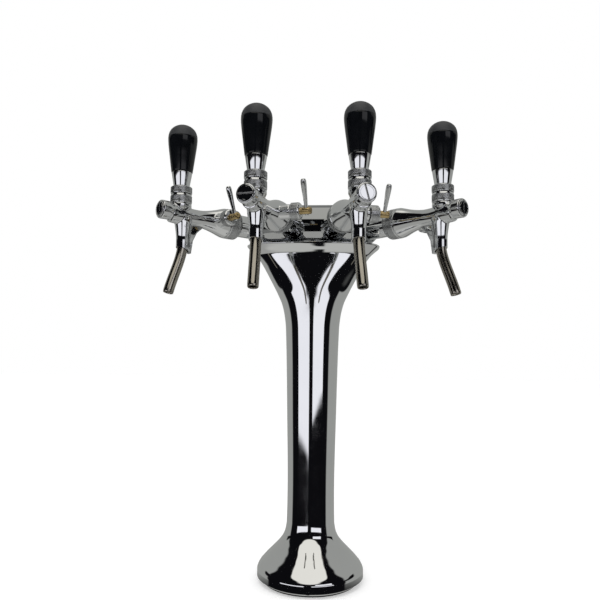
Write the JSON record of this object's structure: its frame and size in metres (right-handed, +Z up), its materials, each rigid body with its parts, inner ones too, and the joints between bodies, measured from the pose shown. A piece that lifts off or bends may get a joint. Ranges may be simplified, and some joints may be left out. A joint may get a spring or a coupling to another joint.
{
  "type": "beer tap tower",
  "caption": "Chrome T-shaped beer tower: flared round column, horizontal crossbar and compensator taps with black handles, bent spouts and side flow levers.",
  "frame": {"origin": "centre of the model in plan, at the underside of the base gasket", "axes": "+Z up along the column, -Y towards the taps and the drinker, +X to the right of someone facing the taps"},
  "size_m": [0.3492, 0.2412, 0.5373],
  "materials": {
    "tower_chrome": "mirror polished",
    "tap_chrome": "polished",
    "cap_chrome": "polished, slotted",
    "spout_steel": "drawn, lightly brushed",
    "knurled_steel": "diamond knurled, satin",
    "inner_steel": "turned",
    "flow_brass": "turned",
    "grip_black": "gloss body with a satin dome",
    "gasket_rubber": "matte"
  },
  "bodies": {
    "tower": {"base_gasket": "gasket_rubber", "base_flange": "tower_chrome", "tower_shell": "tower_chrome", "crossbar": "tower_chrome", "shank_1": "tower_chrome", "shank_2": "tower_chrome", "shank_3": "tower_chrome", "shank_4": "tower_chrome", "tap1_body": "tap_chrome", "tap1_cap": "cap_chrome", "tap1_spout": "spout_steel", "tap1_collar": "knurled_steel", "tap1_flow_nut": "knurled_steel", "tap1_coupling_nut": "knurled_steel", "tap2_body": "tap_chrome", "tap2_cap": "cap_chrome", "tap2_spout": "spout_steel", "tap2_collar": "knurled_steel", "tap2_flow_nut": "knurled_steel", "tap2_coupling_nut": "knurled_steel", "tap3_body": "tap_chrome", "tap3_cap": "cap_chrome", "tap3_spout": "spout_steel", "tap3_collar": "knurled_steel", "tap3_flow_nut": "knurled_steel", "tap3_coupling_nut": "knurled_steel", "tap4_body": "tap_chrome", "tap4_cap": "cap_chrome", "tap4_spout": "spout_steel", "tap4_collar": "knurled_steel", "tap4_flow_nut": "knurled_steel", "tap4_coupling_nut": "knurled_steel"},
    "handle_1": {"tap1_stem": "inner_steel", "tap1_handle_nut": "knurled_steel", "tap1_ferrule": "tap_chrome", "tap1_grip": "grip_black"},
    "flow_1": {"tap1_flow_spindle": "flow_brass", "tap1_flow_lever": "tap_chrome"},
    "piston_1": {"tap1_piston": "inner_steel"},
    "handle_2": {"tap2_stem": "inner_steel", "tap2_handle_nut": "knurled_steel", "tap2_ferrule": "tap_chrome", "tap2_grip": "grip_black"},
    "flow_2": {"tap2_flow_spindle": "flow_brass", "tap2_flow_lever": "tap_chrome"},
    "piston_2": {"tap2_piston": "inner_steel"},
    "handle_3": {"tap3_stem": "inner_steel", "tap3_handle_nut": "knurled_steel", "tap3_ferrule": "tap_chrome", "tap3_grip": "grip_black"},
    "flow_3": {"tap3_flow_spindle": "flow_brass", "tap3_flow_lever": "tap_chrome"},
    "piston_3": {"tap3_piston": "inner_steel"},
    "handle_4": {"tap4_stem": "inner_steel", "tap4_handle_nut": "knurled_steel", "tap4_ferrule": "tap_chrome", "tap4_grip": "grip_black"},
    "flow_4": {"tap4_flow_spindle": "flow_brass", "tap4_flow_lever": "tap_chrome"},
    "piston_4": {"tap4_piston": "inner_steel"}
  },
  "joints": [
    {"name": "handle_1_tilt", "type": "hinge", "parent": "tower", "child": "handle_1", "pos_m": [-0.14902, -0.03458, 0.4446], "axis": [0.7133, -0.7009, 0], "range_deg": [-10, 30]},
    {"name": "flow_1_turn", "type": "hinge", "parent": "tower", "child": "flow_1", "pos_m": [-0.11607, -0.00106, 0.4306], "axis": [0.7133, -0.7009, 0], "range_deg": [-55, 55]},
    {"name": "piston_1_slide", "type": "slide", "parent": "tower", "child": "piston_1", "axis": [0.7009, 0.7133, 0], "range_m": [-0.0028, 0.0076]},
    {"name": "handle_2_tilt", "type": "hinge", "parent": "tower", "child": "handle_2", "pos_m": [-0.05442, -0.09207, 0.4446], "axis": [0.9703, -0.2419, 0], "range_deg": [-10, 30]},
    {"name": "flow_2_turn", "type": "hinge", "parent": "tower", "child": "flow_2", "pos_m": [-0.04305, -0.04646, 0.4306], "axis": [0.9703, -0.2419, 0], "range_deg": [-55, 55]},
    {"name": "piston_2_slide", "type": "slide", "parent": "tower", "child": "piston_2", "axis": [0.2419, 0.9703, 0], "range_m": [-0.0028, 0.0076]},
    {"name": "handle_3_tilt", "type": "hinge", "parent": "tower", "child": "handle_3", "pos_m": [0.05442, -0.09207, 0.4446], "axis": [0.9703, 0.2419, 0], "range_deg": [-10, 30]},
    {"name": "flow_3_turn", "type": "hinge", "parent": "tower", "child": "flow_3", "pos_m": [0.04305, -0.04646, 0.4306], "axis": [0.9703, 0.2419, 0], "range_deg": [-55, 55]},
    {"name": "piston_3_slide", "type": "slide", "parent": "tower", "child": "piston_3", "axis": [-0.2419, 0.9703, 0], "range_m": [-0.0028, 0.0076]},
    {"name": "handle_4_tilt", "type": "hinge", "parent": "tower", "child": "handle_4", "pos_m": [0.14902, -0.03458, 0.4446], "axis": [0.7133, 0.7009, 0], "range_deg": [-10, 30]},
    {"name": "flow_4_turn", "type": "hinge", "parent": "tower", "child": "flow_4", "pos_m": [0.11607, -0.00106, 0.4306], "axis": [0.7133, 0.7009, 0], "range_deg": [-55, 55]},
    {"name": "piston_4_slide", "type": "slide", "parent": "tower", "child": "piston_4", "axis": [-0.7009, 0.7133, 0], "range_m": [-0.0028, 0.0076]}
  ],
  "couplings": [
    {"joint": "piston_1_slide", "follows": "handle_1_tilt", "m_per_rad": 0.0137},
    {"joint": "piston_2_slide", "follows": "handle_2_tilt", "m_per_rad": 0.0137},
    {"joint": "piston_3_slide", "follows": "handle_3_tilt", "m_per_rad": 0.0137},
    {"joint": "piston_4_slide", "follows": "handle_4_tilt", "m_per_rad": 0.0137}
  ]
}
